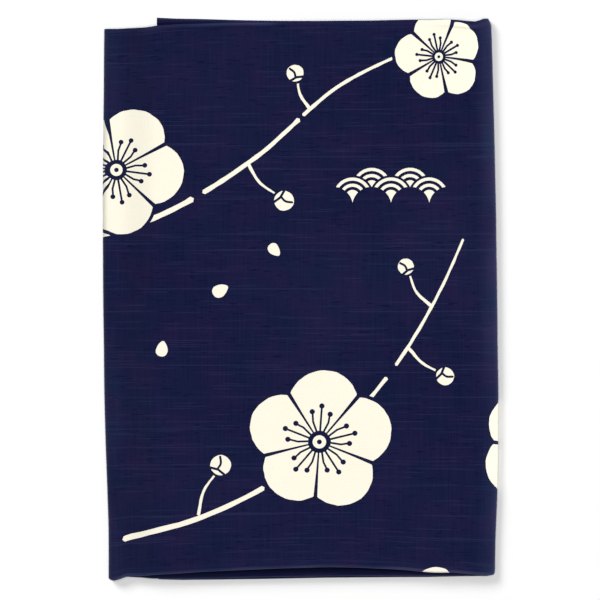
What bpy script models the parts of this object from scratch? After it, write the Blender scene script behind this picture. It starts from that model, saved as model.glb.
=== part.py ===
"""A furoshiki: one square of slub cotton, folded in half and then in three, lying flat.

Units are metres. +Z is up and +Y runs from the folded edge to the open edges. From the top down
the pack has a front panel, a middle panel tucked inside it and an under panel, and each panel is
two layers of the cloth. The front turns into the middle panel at the left fold, which is tight,
and into the under panel at the right fold, which is round. The origin is the middle of the pack's
underside.
"""

import math
from collections import namedtuple

import bpy
import numpy as np

MM = 0.001
NAME = "furoshiki"

# The cloth, and how closely its layers lie, from centre to centre
THICKNESS = 1.0 * MM
LAYER_PITCH = 1.35 * MM
PANEL_PITCH = 2 * LAYER_PITCH

# The folded pack, before its edges are drawn uneven
PACK_WIDTH = 176 * MM
PACK_LENGTH = 249 * MM
MIDDLE_END_X = 77 * MM
UNDER_END_X = -64.5 * MM
INNER_LAYER_SHORT = 0.8 * MM

# The front panel bends gently towards the right fold before it turns under
FALL_LENGTH = 7 * MM
FALL_TURN = 10.0

# How far the upper panels stand off a flat stack
WAVE_HEIGHT = 0.7 * MM
WAVE_LENGTH_X = 105 * MM
WAVE_LENGTH_Y = 150 * MM
WAVE_FADE = 25 * MM
LIP_HEIGHT = 1.3 * MM
LIP_DEPTH = 14 * MM
LIP_HALF_WIDTH = 78 * MM
LIP_CENTRE_X = 6 * MM
SAG = 2.2 * MM
SAG_RUN = 16 * MM
RIGHT_SAG = 1.7 * MM
RIGHT_SAG_START = 73 * MM
RIGHT_SAG_END = 88 * MM
RIGHT_SAG_POWER = 1.7

# Rows of the pack's sides, in millimetres, from the folded edge to the open one
Side = namedtuple("Side", "y left right")
SIDES = (
    Side(-125.0, -85.9, 85.5),
    Side(-123.5, -85.9, 85.8),
    Side(-121.5, -85.9, 86.2),
    Side(-118.0, -85.9, 86.3),
    Side(-108.0, -85.9, 86.5),
    Side(-88.0, -86.4, 87.3),
    Side(-60.0, -87.4, 87.8),
    Side(-20.0, -88.1, 87.5),
    Side(20.0, -88.5, 87.0),
    Side(60.0, -88.5, 86.3),
    Side(95.0, -88.1, 85.4),
    Side(112.0, -88.0, 84.9),
    Side(120.0, -87.9, 84.6),
    Side(123.0, -87.9, 84.2),
    Side(125.0, -87.9, 83.6),
)

# Rows of the panels' open and folded edges, in millimetres, from left to right
End = namedtuple("End", "x front_open under_open front_fold middle_fold under_fold")
ENDS = (
    End(-88.0, 120.4, 125.8, -124.2, -124.4, -124.8),
    End(-86.0, 120.5, 125.8, -125.2, -125.5, -124.8),
    End(-84.0, 120.5, 125.8, -125.1, -125.4, -124.8),
    End(-80.0, 120.6, 125.8, -123.7, -123.9, -124.8),
    End(-78.0, 120.7, 125.8, -123.4, -123.6, -124.8),
    End(-73.0, 120.9, 125.8, -123.2, -124.0, -124.8),
    End(-68.0, 121.2, 125.8, -122.8, -124.4, -124.8),
    End(-64.0, 121.8, 125.7, -122.5, -124.5, -124.9),
    End(-58.0, 122.2, 125.4, -122.2, -124.6, -125.1),
    End(-48.0, 122.6, 125.2, -121.5, -124.5, -125.1),
    End(-30.0, 123.3, 124.7, -120.6, -124.1, -124.9),
    End(-15.0, 123.5, 124.4, -119.9, -123.8, -124.7),
    End(0.0, 123.7, 124.3, -119.4, -123.6, -124.4),
    End(20.0, 123.9, 124.4, -119.2, -123.3, -124.1),
    End(33.0, 124.0, 124.5, -119.7, -123.2, -124.0),
    End(46.0, 124.3, 124.8, -120.4, -123.2, -123.9),
    End(60.0, 124.4, 124.9, -121.6, -123.2, -123.8),
    End(69.0, 124.5, 124.9, -121.7, -123.1, -123.6),
    End(75.0, 124.1, 124.5, -122.2, -123.1, -123.5),
    End(81.0, 123.8, 124.1, -122.7, -123.1, -123.4),
    End(85.5, 124.5, 124.8, -122.9, -123.1, -123.3),
    End(88.0, 124.5, 124.7, -122.5, -122.6, -122.8),
)

# How soon an edge's unevenness dies out into the cloth: the higher, the straighter the yarns between
EDGE_REACH = 4

# Steps across each stretch of the pack and along each half of the cloth
PANEL_STEPS = 16
TIGHT_FOLD_STEPS = 8
FALL_STEPS = 3
ROUND_FOLD_STEPS = 9
HALF_STEPS = 13
HALF_FOLD_STEPS = 6

NAVY = (0.011, 0.012, 0.040, 1.0)

# One stretch of the way round the pack: a straight run or an arc, with the panel it starts and ends in
Stretch = namedtuple("Stretch", "length turn steps start_panel end_panel")
FRONT, MIDDLE, UNDER = 0, 1, 2


def stretches():
    """The way round the pack, from the middle panel's free end to the under panel's."""
    tight_radius = PANEL_PITCH / 2
    skin = (LAYER_PITCH + THICKNESS) / 2
    left_centre = -PACK_WIDTH / 2 + tight_radius + skin
    fall_radius = FALL_LENGTH / math.radians(FALL_TURN)
    fall_sine, fall_cosine = math.sin(math.radians(FALL_TURN)), math.cos(math.radians(FALL_TURN))
    fall_drop = fall_radius * (1 - fall_cosine)
    round_radius = (2 * PANEL_PITCH - fall_drop) / (1 + fall_cosine)
    fall_start = PACK_WIDTH / 2 - skin - fall_radius * fall_sine - round_radius * (1 - fall_sine)
    under_start = fall_start + (fall_radius - round_radius) * fall_sine
    round_turn = 180 - FALL_TURN
    return (
        Stretch(MIDDLE_END_X - left_centre, 0, PANEL_STEPS, MIDDLE, MIDDLE),
        Stretch(math.pi * tight_radius, 180, TIGHT_FOLD_STEPS, MIDDLE, FRONT),
        Stretch(fall_start - left_centre, 0, PANEL_STEPS, FRONT, FRONT),
        Stretch(FALL_LENGTH, FALL_TURN, FALL_STEPS, FRONT, FRONT),
        Stretch(math.radians(round_turn) * round_radius, round_turn, ROUND_FOLD_STEPS, FRONT, UNDER),
        Stretch(under_start - UNDER_END_X, 0, PANEL_STEPS, UNDER, UNDER),
    )


def closer_at_ends(steps):
    """Fractions from 0 to 1 that lie closer together near both ends."""
    return (1 - np.cos(np.linspace(0, math.pi, steps + 1))) / 2


def smooth_step(x):
    x = np.clip(x, 0, 1)
    return x * x * (3 - 2 * x)


def smooth_through(rows, key, column, x):
    """The smooth curve through one column of a table in millimetres, read at x metres."""
    at = np.array([getattr(row, key) for row in rows]) * MM
    value = np.array([getattr(row, column) for row in rows]) * MM
    slope = np.gradient(value, at)
    x = np.clip(x, at[0], at[-1])
    i = np.clip(np.searchsorted(at, x) - 1, 0, len(at) - 2)
    span = at[i + 1] - at[i]
    t = (x - at[i]) / span
    start, end = value[i] + slope[i] * span * t, value[i + 1] - slope[i + 1] * span * (1 - t)
    return start + (end - start) * smooth_step(t)


def way_round():
    """Centre line of the panels at every step: x, z, the outward direction, and each panel's share."""
    x, z, heading = MIDDLE_END_X, PANEL_PITCH + (LAYER_PITCH + THICKNESS) / 2, math.pi
    points = []
    for stretch in stretches():
        turn = math.radians(stretch.turn)
        fractions = closer_at_ends(stretch.steps) if turn == 0 else np.linspace(0, 1, stretch.steps + 1)
        for f in fractions[1 if points else 0 :]:
            chord = stretch.length * f * np.sinc(turn * f / 2 / math.pi)
            toward = heading - turn * f / 2
            share = [0.0, 0.0, 0.0]
            share[stretch.start_panel] += 1 - smooth_step(f)
            share[stretch.end_panel] += smooth_step(f)
            outward = heading - turn * f + math.pi / 2
            points.append((x + chord * math.cos(toward), z + chord * math.sin(toward), outward, *share))
        chord = stretch.length * np.sinc(turn / 2 / math.pi)
        x += chord * math.cos(heading - turn / 2)
        z += chord * math.sin(heading - turn / 2)
        heading -= turn
    return np.array(points)


def half_fold():
    """Section of a panel: y from the open edge, round the half fold and back, and the offset outwards."""
    radius = LAYER_PITCH / 2
    fold_y = -PACK_LENGTH / 2 + radius + THICKNESS / 2
    open_y = PACK_LENGTH / 2
    down = open_y + (fold_y - open_y) * closer_at_ends(HALF_STEPS)
    up = fold_y + (open_y - INNER_LAYER_SHORT - fold_y) * closer_at_ends(HALF_STEPS)
    round_it = np.linspace(0, math.pi, HALF_FOLD_STEPS + 1)[1:-1]
    y = np.concatenate([down, fold_y - radius * np.sin(round_it), up])
    out = np.concatenate([down * 0 + radius, radius * np.cos(round_it), up * 0 - radius])
    return y, out


def drawn_outline(way_x, x, y, share):
    """Moves points of the even pack to its uneven outline, both layers of a panel to the same edges."""

    def edge(*columns):
        read = [smooth_through(ENDS, "x", column, way_x) for column in columns]
        return sum(part * value for part, value in zip(share, read))

    opened = edge("front_open", "front_open", "under_open") - PACK_LENGTH / 2
    folded = edge("front_fold", "middle_fold", "under_fold") + PACK_LENGTH / 2
    up = np.clip(y / PACK_LENGTH + 0.5, 0, 1)
    y = y + opened * up**EDGE_REACH + folded * (1 - up) ** EDGE_REACH
    left = smooth_through(SIDES, "y", "left", y) + PACK_WIDTH / 2
    right = smooth_through(SIDES, "y", "right", y) - PACK_WIDTH / 2
    across = np.clip(x / PACK_WIDTH + 0.5, 0, 1)
    return x + right * across**EDGE_REACH + left * (1 - across) ** EDGE_REACH, y


def upper_lift(x, y, share):
    """How far the upper panels stand off a flat stack: soft waves, a raised lip, and both sides sagging."""
    front, middle, _ = share
    fade = smooth_step((PACK_WIDTH / 2 - np.abs(x)) / WAVE_FADE)
    wave = 1 + np.sin(2 * math.pi * x / WAVE_LENGTH_X + 0.8) * np.cos(2 * math.pi * y / WAVE_LENGTH_Y + 0.5)
    lift = WAVE_HEIGHT * fade * wave / 2 * (front + middle / 2)
    across = smooth_step((LIP_HALF_WIDTH - np.abs(x - LIP_CENTRE_X)) / LIP_HALF_WIDTH)
    lift += LIP_HEIGHT * across * smooth_step((LIP_DEPTH - PACK_LENGTH / 2 - y) / LIP_DEPTH) * front
    lift -= SAG * smooth_step((UNDER_END_X - x) / SAG_RUN) * (front + middle)
    past = np.clip((x - RIGHT_SAG_START) / (RIGHT_SAG_END - RIGHT_SAG_START), 0, 1)
    lift -= RIGHT_SAG * past**RIGHT_SAG_POWER * front
    return lift


def folded_points():
    """Positions of the cloth's centre surface: a row along the cloth for each step round the pack."""
    way = way_round()[:, None, :]
    section_y, section_out = half_fold()
    x, z, outward = way[..., 0], way[..., 1], way[..., 2]
    share = (way[..., 3], way[..., 4], way[..., 5])
    even_x = x + np.cos(outward) * section_out
    even_z = z + np.sin(outward) * section_out
    even_y = np.broadcast_to(section_y, even_x.shape)
    drawn_x, drawn_y = drawn_outline(x, even_x, even_y, share)
    lifted_z = even_z + upper_lift(even_x, even_y, share)
    middle_x, middle_y = ((drawn.min() + drawn.max()) / 2 for drawn in (drawn_x, drawn_y))
    return np.stack([drawn_x - middle_x, drawn_y - middle_y, lifted_z], axis=-1)


def cloth_material():
    material = bpy.data.materials.new("navy_slub_cotton")
    material.use_nodes = True
    shader = material.node_tree.nodes["Principled BSDF"]
    shader.inputs["Base Color"].default_value = NAVY
    shader.inputs["Roughness"].default_value = 0.85
    shader.inputs["Metallic"].default_value = 0.0
    return material


def make_cloth(collection):
    """The square as a grid, its points moved to their folded places, with the cloth's thickness."""
    points = folded_points()
    rows, columns = points.shape[:2]
    bpy.ops.mesh.primitive_grid_add(x_subdivisions=rows - 1, y_subdivisions=columns - 1, size=1)
    cloth = bpy.context.object
    cloth.name = cloth.data.name = NAME
    for vertex in cloth.data.vertices:
        row = round((vertex.co.x + 0.5) * (rows - 1))
        column = round((vertex.co.y + 0.5) * (columns - 1))
        vertex.co = points[row, column]
    cloth.data.shade_smooth()
    cloth.data.materials.append(cloth_material())
    thicken = cloth.modifiers.new("thickness", "SOLIDIFY")
    thicken.thickness = THICKNESS
    thicken.offset = 0
    for owner in cloth.users_collection:
        owner.objects.unlink(cloth)
    collection.objects.link(cloth)


def main():
    for thing in list(bpy.data.objects):
        bpy.data.objects.remove(thing)
    collection = bpy.data.collections.new(NAME)
    bpy.context.scene.collection.children.link(collection)
    make_cloth(collection)


main()
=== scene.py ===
"""Looks of a folded furoshiki: the printed cotton as one thin sheet in its solid's folds, and the studio.

Everything is in metres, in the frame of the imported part, but for tables and the print, which are in
millimetres. A place on the cloth is (along, down): along runs round the pack from the middle panel's
free end to the under panel's, and down runs from the open edge of the outer layer, round the half
fold, to the open edge of the inner layer.
"""

import math
from collections import namedtuple

import bpy
import numpy as np
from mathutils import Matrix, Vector
from mathutils.geometry import delaunay_2d_cdt


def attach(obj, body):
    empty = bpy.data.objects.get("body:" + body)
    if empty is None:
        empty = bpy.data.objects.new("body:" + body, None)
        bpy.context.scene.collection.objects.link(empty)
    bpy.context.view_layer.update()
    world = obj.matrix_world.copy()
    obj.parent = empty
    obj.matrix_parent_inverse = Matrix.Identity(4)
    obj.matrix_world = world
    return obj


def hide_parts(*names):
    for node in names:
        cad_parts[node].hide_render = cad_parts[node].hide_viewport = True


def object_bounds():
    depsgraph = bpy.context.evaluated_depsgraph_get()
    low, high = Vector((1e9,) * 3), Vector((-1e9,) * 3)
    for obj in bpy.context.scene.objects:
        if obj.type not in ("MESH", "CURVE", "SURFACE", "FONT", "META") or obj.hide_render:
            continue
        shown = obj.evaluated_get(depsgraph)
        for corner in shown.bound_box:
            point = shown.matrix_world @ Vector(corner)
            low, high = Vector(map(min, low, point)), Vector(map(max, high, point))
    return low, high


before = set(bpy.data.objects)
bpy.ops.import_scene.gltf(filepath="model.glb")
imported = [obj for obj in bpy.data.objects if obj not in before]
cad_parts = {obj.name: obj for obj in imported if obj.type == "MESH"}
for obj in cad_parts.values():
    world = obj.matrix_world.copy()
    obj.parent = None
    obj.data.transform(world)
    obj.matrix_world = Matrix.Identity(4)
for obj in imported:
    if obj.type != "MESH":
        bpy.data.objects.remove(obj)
cad_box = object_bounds()

MM = 0.001

# ---------------------------------------------------------------- the fold

# Each panel is two layers of the cloth. The front turns into the middle panel at the left fold, which
# is tight, and into the under panel at the right fold, which is round. The sizes are the solid's, but
# for the crests, EDGE_REACH and the last rows by the upper right corner, which are up to 0.6 mm off.

SOLID_THICKNESS = 1.0 * MM
LAYER_PITCH = 1.35 * MM
PANEL_PITCH = 2 * LAYER_PITCH
PACK_WIDTH = 176 * MM
PACK_LENGTH = 249 * MM
MIDDLE_END_X = 77 * MM
UNDER_END_X = -64.5 * MM
INNER_LAYER_SHORT = 0.8 * MM
FALL_LENGTH = 7 * MM
FALL_TURN = 10.0
WAVE_HEIGHT = 0.7 * MM
WAVE_LENGTH_X = 105 * MM
WAVE_LENGTH_Y = 150 * MM
WAVE_START_X = 0.8
WAVE_START_Y = 0.5
WAVE_FADE = 25 * MM
LIP_HEIGHT = 1.3 * MM
LIP_DEPTH = 14 * MM
LIP_HALF_WIDTH = 78 * MM
LIP_CENTRE_X = 6 * MM
SAG = 2.2 * MM
SAG_RUN = 16 * MM
RIGHT_SAG = 1.7 * MM
RIGHT_SAG_START = 73 * MM
RIGHT_SAG_END = 88 * MM
RIGHT_SAG_POWER = 1.7

# Rows of the soft ridge pressed along the front's open edge, in millimetres from left to right
CREST_WIDTH = 0.8 * MM
Crest = namedtuple("Crest", "x from_edge height")
CRESTS = (
    Crest(-88.0, 1.2, 0.05),
    Crest(-70.0, 1.2, 0.25),
    Crest(-62.0, 1.2, 0.50),
    Crest(-40.0, 1.3, 0.45),
    Crest(-22.0, 1.4, 0.40),
    Crest(-8.0, 1.5, 0.15),
    Crest(30.0, 1.5, 0.10),
    Crest(58.0, 2.0, 0.10),
    Crest(71.0, 2.4, 0.50),
    Crest(82.0, 2.5, 0.45),
    Crest(88.0, 2.5, 0.10),
)

# Rows of the pack's sides, in millimetres, from the folded edge to the open one
Side = namedtuple("Side", "y left right")
SIDES = (
    Side(-125.0, -85.9, 85.5),
    Side(-123.5, -85.9, 85.8),
    Side(-121.5, -85.9, 86.2),
    Side(-118.0, -85.9, 86.3),
    Side(-108.0, -85.9, 86.5),
    Side(-88.0, -86.4, 87.3),
    Side(-60.0, -87.4, 87.8),
    Side(-20.0, -88.1, 87.5),
    Side(20.0, -88.5, 87.0),
    Side(60.0, -88.5, 86.3),
    Side(95.0, -88.1, 85.4),
    Side(112.0, -88.0, 84.9),
    Side(120.0, -87.9, 84.6),
    Side(122.5, -87.9, 84.4),
    Side(125.0, -87.9, 83.3),
)

# Rows of the panels' open and folded edges, in millimetres, from left to right
End = namedtuple("End", "x front_open under_open front_fold middle_fold under_fold")
ENDS = (
    End(-88.0, 120.4, 125.8, -124.2, -124.4, -124.8),
    End(-86.0, 120.5, 125.8, -125.2, -125.5, -124.8),
    End(-84.0, 120.5, 125.8, -125.1, -125.4, -124.8),
    End(-80.0, 120.6, 125.8, -123.7, -123.9, -124.8),
    End(-78.0, 120.7, 125.8, -123.4, -123.6, -124.8),
    End(-73.0, 120.9, 125.8, -123.2, -124.0, -124.8),
    End(-68.0, 121.2, 125.8, -122.8, -124.4, -124.8),
    End(-64.0, 121.8, 125.7, -122.5, -124.5, -124.9),
    End(-58.0, 122.2, 125.4, -122.2, -124.6, -125.1),
    End(-48.0, 122.6, 125.2, -121.5, -124.5, -125.1),
    End(-30.0, 123.3, 124.7, -120.6, -124.1, -124.9),
    End(-15.0, 123.5, 124.4, -119.9, -123.8, -124.7),
    End(0.0, 123.7, 124.3, -119.4, -123.6, -124.4),
    End(20.0, 123.9, 124.4, -119.2, -123.3, -124.1),
    End(33.0, 124.0, 124.5, -119.7, -123.2, -124.0),
    End(46.0, 124.3, 124.8, -120.4, -123.2, -123.9),
    End(60.0, 124.4, 124.9, -121.6, -123.2, -123.8),
    End(69.0, 124.5, 124.9, -121.7, -123.1, -123.6),
    End(75.0, 124.1, 124.5, -122.2, -123.1, -123.5),
    End(81.0, 123.8, 124.1, -122.7, -123.1, -123.4),
    End(85.5, 125.1, 125.0, -122.9, -123.1, -123.3),
    End(88.0, 125.1, 125.0, -122.5, -122.6, -122.8),
)

# How soon an edge's unevenness dies out into the cloth: the higher, the straighter the yarns between
EDGE_REACH = 8

FRONT, MIDDLE, UNDER = 0, 1, 2

# ---------------------------------------------------------------- the cloth's own sizes

CLOTH_THICKNESS = 0.6 * MM
HEM_THICKNESS = 1.0 * MM
HEM_WIDTH = 4.0 * MM
HEM_SLOPE = 0.6 * MM

# Distance between mesh lines: fine on the front's outer layer, coarser where other layers hide the cloth
FRONT_STEP = 2.5 * MM
MIDDLE_STEP = 6.0 * MM
UNDER_STEP = 4.0 * MM
OUTER_STEP = 2.5 * MM
INNER_STEP = 6.0 * MM
REVERSE_STEP = 12.0 * MM
CORNER_STEP = 1.25 * MM
CORNER_RUN = 25.0 * MM

# How many steps there are round each fold and across each hem
TIGHT_FOLD_STEPS = 16
FALL_STEPS = 4
ROUND_FOLD_STEPS = 22
HALF_FOLD_STEPS = 12
HEM_ROWS = 8
REVERSE_HEM_ROWS = 4
INNER_HEM_ROWS = 2

# The reverse keeps the lines that stand closer together than this, as they do in the folds and hems
KEPT_GAP = 2.0 * MM

# Points this close are one, and the lines' places in metres are rounded to this many digits
MERGE = 0.01 * MM
LINE_DIGITS = 7

# A point of the print this near an edge of the cloth is moved off it
GRAZE = 0.1 * MM

# How far to each side the direction of the printed face is read
PROBE = 0.05 * MM

Stretch = namedtuple("Stretch", "x z heading length turn start_panel end_panel steps start")


def smooth_step(x):
    x = np.clip(x, 0, 1)
    return x * x * (3 - 2 * x)


def smooth_through(rows, key, column, x):
    """The smooth curve through one column of a table in millimetres, read at x metres."""
    at = np.array([getattr(row, key) for row in rows]) * MM
    value = np.array([getattr(row, column) for row in rows]) * MM
    slope = np.gradient(value, at)
    x = np.clip(x, at[0], at[-1])
    i = np.clip(np.searchsorted(at, x) - 1, 0, len(at) - 2)
    span = at[i + 1] - at[i]
    t = (x - at[i]) / span
    start, end = value[i] + slope[i] * span * t, value[i + 1] - slope[i + 1] * span * (1 - t)
    return start + (end - start) * smooth_step(t)


def arc_place(x, z, heading, length, turn):
    """Where an arc of this length and turn, in radians, ends."""
    chord = length * np.sinc(turn / 2 / math.pi)
    toward = heading - turn / 2
    return x + chord * np.cos(toward), z + chord * np.sin(toward)


def plan_stretches():
    """The way round the pack, from the middle panel's free end to the under panel's.

    Each row of the plan has a length, a turn, the panels at its start and its end, and the length of
    its steps or, in a turn, how many there are.
    """
    tight_radius = PANEL_PITCH / 2
    skin = (LAYER_PITCH + SOLID_THICKNESS) / 2
    left_centre = -PACK_WIDTH / 2 + tight_radius + skin
    fall = math.radians(FALL_TURN)
    fall_radius = FALL_LENGTH / fall
    round_radius = (2 * PANEL_PITCH - fall_radius * (1 - math.cos(fall))) / (1 + math.cos(fall))
    turn_reach = fall_radius * math.sin(fall) + round_radius * (1 - math.sin(fall))
    fall_start = PACK_WIDTH / 2 - skin - turn_reach
    under_start = fall_start + (fall_radius - round_radius) * math.sin(fall)
    plan = (
        (MIDDLE_END_X - left_centre, 0, MIDDLE, MIDDLE, MIDDLE_STEP),
        (math.pi * tight_radius, math.pi, MIDDLE, FRONT, TIGHT_FOLD_STEPS),
        (fall_start - left_centre, 0, FRONT, FRONT, FRONT_STEP),
        (FALL_LENGTH, fall, FRONT, FRONT, FALL_STEPS),
        ((math.pi - fall) * round_radius, math.pi - fall, FRONT, UNDER, ROUND_FOLD_STEPS),
        (under_start - UNDER_END_X, 0, UNDER, UNDER, UNDER_STEP),
    )
    x, z, heading, start = MIDDLE_END_X, PANEL_PITCH + skin, math.pi, 0.0
    stretches = []
    for length, turn, start_panel, end_panel, step in plan:
        steps = step if turn else max(1, round(length / step))
        stretches.append(Stretch(x, z, heading, length, turn, start_panel, end_panel, steps, start))
        x, z = arc_place(x, z, heading, length, turn)
        heading -= turn
        start += length
    return stretches


STRETCHES = plan_stretches()
MIDDLE_RUN, TIGHT_FOLD, FRONT_RUN, _, ROUND_FOLD, UNDER_RUN = STRETCHES
CLOTH_WIDTH = UNDER_RUN.start + UNDER_RUN.length
FOLD_RADIUS = LAYER_PITCH / 2
FOLD_Y = -PACK_LENGTH / 2 + FOLD_RADIUS + SOLID_THICKNESS / 2
OPEN_Y = PACK_LENGTH / 2
OUTER_LENGTH = OPEN_Y - FOLD_Y
HALF_FOLD_END = OUTER_LENGTH + math.pi * FOLD_RADIUS
CLOTH_LENGTH = HALF_FOLD_END + OUTER_LENGTH - INNER_LAYER_SHORT


def front_along(x):
    """How far along the cloth a place across the front panel is."""
    return FRONT_RUN.start + x - FRONT_RUN.x


def way_at(along):
    """Centre line of the panels at each distance: x, z, the outward direction and each panel's share."""
    x, z, outward = np.zeros_like(along), np.zeros_like(along), np.zeros_like(along)
    share = np.zeros((3,) + along.shape)
    for stretch in STRETCHES:
        here = along >= stretch.start - MERGE
        f = np.clip((along[here] - stretch.start) / stretch.length, 0, 1)
        turn = stretch.turn * f
        x[here], z[here] = arc_place(stretch.x, stretch.z, stretch.heading, stretch.length * f, turn)
        outward[here] = stretch.heading - turn + math.pi / 2
        share[:, here] = 0
        share[stretch.start_panel, here] += 1 - smooth_step(f)
        share[stretch.end_panel, here] += smooth_step(f)
    return x, z, outward, share


def half_fold_at(down):
    """Section of a panel at each distance from its outer layer's open edge: y and the offset outwards."""
    angle = np.clip((down - OUTER_LENGTH) / FOLD_RADIUS, 0, math.pi)
    past = np.clip(down - HALF_FOLD_END, 0, None)
    y = OPEN_Y - np.minimum(down, OUTER_LENGTH) - FOLD_RADIUS * np.sin(angle) + past
    return y, FOLD_RADIUS * np.cos(angle)


def drawn_outline(way_x, x, y, share):
    """Moves points of the even pack to its uneven outline, both layers of a panel to the same edges."""

    def edge(*columns):
        read = [smooth_through(ENDS, "x", column, way_x) for column in columns]
        return sum(part * value for part, value in zip(share, read))

    open_shift = edge("front_open", "front_open", "under_open") - PACK_LENGTH / 2
    fold_shift = edge("front_fold", "middle_fold", "under_fold") + PACK_LENGTH / 2
    up = np.clip(y / PACK_LENGTH + 0.5, 0, 1)
    y = y + open_shift * up**EDGE_REACH + fold_shift * (1 - up) ** EDGE_REACH
    left = smooth_through(SIDES, "y", "left", y) + PACK_WIDTH / 2
    right = smooth_through(SIDES, "y", "right", y) - PACK_WIDTH / 2
    across = np.clip(x / PACK_WIDTH + 0.5, 0, 1)
    return x + right * across**EDGE_REACH + left * (1 - across) ** EDGE_REACH, y


def upper_lift(x, y, share):
    """How far the upper panels stand off a flat stack.

    They lie in soft waves, with a raised lip at the folded edge, both sides sagging and a low ridge
    along the front's open edge.
    """
    front, middle, _ = share
    fade = smooth_step((PACK_WIDTH / 2 - np.abs(x)) / WAVE_FADE)
    wave_x = np.sin(2 * math.pi * x / WAVE_LENGTH_X + WAVE_START_X)
    wave_y = np.cos(2 * math.pi * y / WAVE_LENGTH_Y + WAVE_START_Y)
    lift = WAVE_HEIGHT * fade * (1 + wave_x * wave_y) / 2 * (front + middle / 2)
    across = smooth_step((LIP_HALF_WIDTH - np.abs(x - LIP_CENTRE_X)) / LIP_HALF_WIDTH)
    lift += LIP_HEIGHT * across * smooth_step((LIP_DEPTH - PACK_LENGTH / 2 - y) / LIP_DEPTH) * front
    lift -= SAG * smooth_step((UNDER_END_X - x) / SAG_RUN) * (front + middle)
    past = np.clip((x - RIGHT_SAG_START) / (RIGHT_SAG_END - RIGHT_SAG_START), 0, 1)
    lift -= RIGHT_SAG * past**RIGHT_SAG_POWER * front
    off_crest = PACK_LENGTH / 2 - y - smooth_through(CRESTS, "x", "from_edge", x)
    lift += smooth_through(CRESTS, "x", "height", x) * np.exp(-((off_crest / CREST_WIDTH) ** 2)) * front
    return lift


def folded(along, down):
    """Places of the cloth's centre surface, before the pack is centred on the frame's origin."""
    x, z, outward, share = way_at(along)
    even_y, out = half_fold_at(down)
    even_x = x + np.cos(outward) * out
    drawn_x, drawn_y = drawn_outline(x, even_x, even_y, share)
    lifted_z = z + np.sin(outward) * out + upper_lift(even_x, even_y, share)
    return np.stack([drawn_x, drawn_y, lifted_z], axis=-1)


def face_direction(along, down):
    """Unit vectors out of the printed face."""
    before = np.clip(along - PROBE, 0, CLOTH_WIDTH)
    after = np.clip(along + PROBE, 0, CLOTH_WIDTH)
    across = folded(after, down) - folded(before, down)
    lengthways = folded(along, down + PROBE) - folded(along, down - PROBE)
    direction = np.cross(lengthways, across)
    return direction / np.linalg.norm(direction, axis=-1, keepdims=True)


def even_lines(stretches):
    """Mesh lines along one direction, evenly inside each (start, length, steps) stretch."""
    lines = [np.linspace(start, start + run, steps + 1) for start, run, steps in stretches]
    return np.unique(np.round(np.concatenate(lines), LINE_DIGITS))


def along_lines():
    """Lines across the section, closer together at the pinched corner by the tight fold."""
    runs = [(stretch.start, stretch.length, stretch.steps) for stretch in STRETCHES]
    corner = (FRONT_RUN.start, CORNER_RUN, round(CORNER_RUN / CORNER_STEP))
    return even_lines(runs + [corner])


def down_lines(hem_rows):
    """Lines down the section, with a pair on the slope of each hem."""
    inner_length = CLOTH_LENGTH - HALF_FOLD_END
    hem_run = HEM_WIDTH - HEM_SLOPE
    return even_lines((
        (0.0, hem_run, hem_rows),
        (hem_run, HEM_SLOPE, 1),
        (HEM_WIDTH, OUTER_LENGTH - HEM_WIDTH, round(OUTER_LENGTH / OUTER_STEP)),
        (OUTER_LENGTH, HALF_FOLD_END - OUTER_LENGTH, HALF_FOLD_STEPS),
        (HALF_FOLD_END, inner_length - HEM_WIDTH, round(inner_length / INNER_STEP)),
        (CLOTH_LENGTH - HEM_WIDTH, HEM_SLOPE, 1),
        (CLOTH_LENGTH - hem_run, hem_run, INNER_HEM_ROWS),
    ))


def thinned(lines):
    """The lines that the reverse needs: all of those in a fold or a hem, and few on the flat."""
    gaps = np.diff(lines, prepend=-1.0)
    kept = [lines[0]]
    for line, gap in zip(lines[1:], gaps[1:]):
        if gap < KEPT_GAP or line - kept[-1] > REVERSE_STEP or line == lines[-1]:
            kept.append(line)
    return np.array(kept)


# ---------------------------------------------------------------- the print, drawn in millimetres

NAVY, CREAM, REVERSE = 0, 1, 2
Shape = namedtuple("Shape", "ink points")

STROKE = 2.1
THIN_STROKE = 0.9
STENCIL_GAP = 1.5

# How far a stroke's rounded end stands out, as a share of its width
CAP = 0.35

# The waves by which a cut wanders off the drawn line: radians a millimetre across and up, the angle
# that each starts with, and its height
Wander = namedtuple("Wander", "x y start height")
WANDERS = (
    Wander(1.1, 0.7, 0, 1.0),
    Wander(0.6, -1.3, 2, 1.0),
    Wander(2.3, 1.9, 4, 0.8),
)

# A blossom's parts, as shares of its radius. A stamen bends by its share for each degree that it leans.
PETALS = 5
PETAL_TURN = 360 / PETALS
PETAL_RADIUS = 0.47
PETAL_REACH = 0.53
LOPSIDED = 0.03
UNEVEN = 0.02
STAMEN_ROOT = 0.12
STAMEN_MIDDLE = 0.3
STAMEN_BEND = 0.0012
ANTHER_RADIUS = 0.038
ANTHER_PAST = 0.02
HEART_RADIUS = 0.16
RING_RADIUS = 0.095
DOT_RADIUS = 0.035
Stamen = namedtuple("Stamen", "lean reach")
STAMENS = (Stamen(-17, 0.40), Stamen(0, 0.49), Stamen(17, 0.42))

# Points of the parting between two petals: how far out, as a share of the radius, and how wide
Parting = namedtuple("Parting", "at width")
PARTINGS = (Parting(0.13, 0.7), Parting(0.45, 1.0), Parting(0.86, 1.9))

# A branch's width where it starts and ends. It is cut by bridges of the stencil and swells before each:
# half a bridge and the run of a swelling are shares of its length, and a swelling is one of its width.
BRANCH_START = STROKE * 1.25
BRANCH_END = STROKE * 0.5
HALF_BRIDGE = 0.006
SWELLING_RUN = 0.012
SWELLING = 0.55
BRANCH_STEPS = 60

# A twig's width where it starts and ends, and the share of its bend that is left at its end
TWIG_START = 1.5
TWIG_END = 0.8
TWIG_STEPS = 14
TWIG_END_BEND = 0.6

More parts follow.
